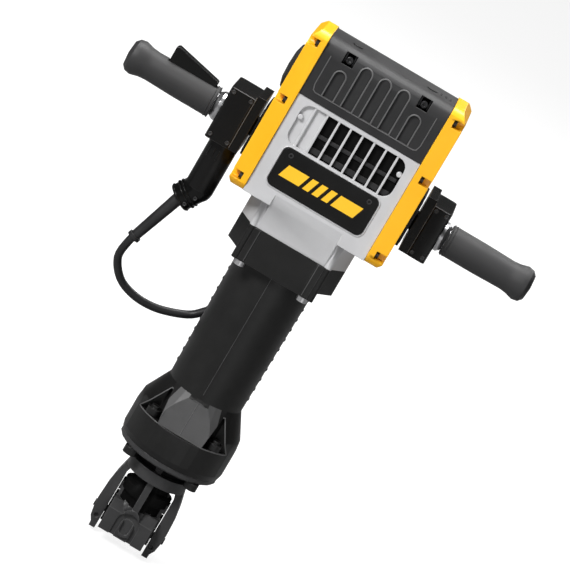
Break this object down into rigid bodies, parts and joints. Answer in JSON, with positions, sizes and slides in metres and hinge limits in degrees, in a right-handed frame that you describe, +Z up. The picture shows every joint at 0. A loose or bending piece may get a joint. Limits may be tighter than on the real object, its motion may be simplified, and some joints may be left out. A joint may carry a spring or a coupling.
{
  "type": "electric jackhammer",
  "caption": "Electric jackhammer with a boxy motor housing, side handles, a round barrel and a hexagonal tool socket closed by a swinging latch, with its mains cord tied behind it.",
  "frame": {"origin": "centre of the tool socket's mouth, on the nose's end face", "axes": "+Z up along the tool's axis, -Y the front with the label plate and the cooling grille, +X the right handle seen from the front"},
  "size_m": [0.608, 0.1943, 0.7509],
  "materials": {
    "black_casting": "satin black paint on a rough aluminium casting",
    "silver_casting": "silver lacquer on a die casting",
    "yellow_plastic": "semi-gloss moulded",
    "cover_plastic": "fine-textured moulded",
    "gloss_black": "gloss moulded",
    "grip_rubber": "matt soft grip",
    "cord_rubber": "matt cord sheath",
    "steel": "machined and ground",
    "dark_steel": "blackened forged steel",
    "copper": "drawn copper"
  },
  "bodies": {
    "housing": {"anvil_guide": "steel", "barrel_housing": "black_casting", "brush_back": "copper", "brush_front": "copper", "collar_bolt_1": "steel", "collar_bolt_2": "steel", "collar_bolt_3": "steel", "collar_bolt_4": "steel", "cord": "cord_rubber", "cord_hank": "cord_rubber", "cord_tie": "cord_rubber", "crank_bearing_inner": "steel", "crank_bearing_outer": "steel", "crank_web": "silver_casting", "cylinder": "steel", "field_core": "dark_steel", "gear_plate": "silver_casting", "holder_bolt_1": "dark_steel", "holder_bolt_2": "dark_steel", "holder_bolt_3": "dark_steel", "holder_bolt_4": "dark_steel", "label_plate": "gloss_black", "latch_pin_left": "steel", "latch_pin_right": "steel", "left_handle_mount": "dark_steel", "motor_bearing_left": "steel", "motor_bearing_right": "steel", "motor_end_cap": "cover_plastic", "motor_housing": "silver_casting", "plug": "cord_rubber", "right_handle_mount": "dark_steel", "side_cover_left": "yellow_plastic", "side_cover_right": "yellow_plastic", "tool_holder": "dark_steel", "top_cover": "cover_plastic"},
    "latch": {"latch_fork": "dark_steel"},
    "left_handle": {"left_handle_block": "gloss_black", "left_pivot_pin": "steel", "left_grip_tube": "gloss_black", "left_grip": "grip_rubber", "cord_elbow": "gloss_black", "strain_relief": "cord_rubber"},
    "trigger": {"trigger": "cover_plastic"},
    "right_handle": {"right_handle_block": "gloss_black", "right_pivot_pin": "steel", "right_grip_tube": "gloss_black", "right_grip": "grip_rubber"},
    "armature": {"armature_shaft": "steel", "armature_core": "dark_steel", "commutator": "copper", "cooling_fan": "cover_plastic"},
    "idler": {"idler_gear": "steel"},
    "crank": {"crankshaft": "steel"},
    "piston": {"piston": "steel", "wrist_pin": "steel"},
    "rod": {"connecting_rod": "steel"},
    "striker": {"striker": "steel"},
    "anvil": {"anvil": "steel"}
  },
  "joints": [
    {"name": "latch_swing", "type": "hinge", "parent": "housing", "child": "latch", "pos_m": [0, 0, 0.017], "axis": [1, 0, 0], "range_deg": [0, 110]},
    {"name": "left_handle_rock", "type": "hinge", "parent": "housing", "child": "left_handle", "pos_m": [-0.13, 0, 0.5699], "axis": [0, 1, 0], "range_deg": [-3, 3], "stiffness_Nm_per_rad": 400, "deforming": ["cord"]},
    {"name": "trigger_pull", "type": "hinge", "parent": "left_handle", "child": "trigger", "pos_m": [-0.192, 0, 0.5904], "axis": [0, -1, 0], "range_deg": [0, 8], "stiffness_Nm_per_rad": 2, "springref_deg": -5.73},
    {"name": "right_handle_rock", "type": "hinge", "parent": "housing", "child": "right_handle", "pos_m": [0.13, 0, 0.5699], "axis": [0, 1, 0], "range_deg": [-3, 3], "stiffness_Nm_per_rad": 400},
    {"name": "armature_spin", "type": "hinge", "parent": "housing", "child": "armature", "pos_m": [0, 0, 0.6649], "axis": [1, 0, 0], "continuous": true},
    {"name": "idler_spin", "type": "hinge", "parent": "housing", "child": "idler", "pos_m": [0, 0, 0.6109], "axis": [1, 0, 0], "continuous": true},
    {"name": "crank_spin", "type": "hinge", "parent": "housing", "child": "crank", "pos_m": [0, 0, 0.5609], "axis": [1, 0, 0], "continuous": true},
    {"name": "piston_slide", "type": "slide", "parent": "housing", "child": "piston", "axis": [0, 0, 1], "range_m": [0, 0.05]},
    {"name": "rod_swing", "type": "hinge", "parent": "piston", "child": "rod", "pos_m": [0, 0, 0.4179], "axis": [1, 0, 0], "range_deg": [-10, 10]},
    {"name": "striker_slide", "type": "slide", "parent": "housing", "child": "striker", "axis": [0, 0, 1], "range_m": [0, 0.04]},
    {"name": "anvil_slide", "type": "slide", "parent": "housing", "child": "anvil", "axis": [0, 0, 1], "range_m": [0, 0.01]}
  ],
  "couplings": [
    {"joint": "idler_spin", "follows": "armature_spin", "ratio": -0.25581},
    {"joint": "crank_spin", "follows": "armature_spin", "ratio": 0.097033}
  ]
}
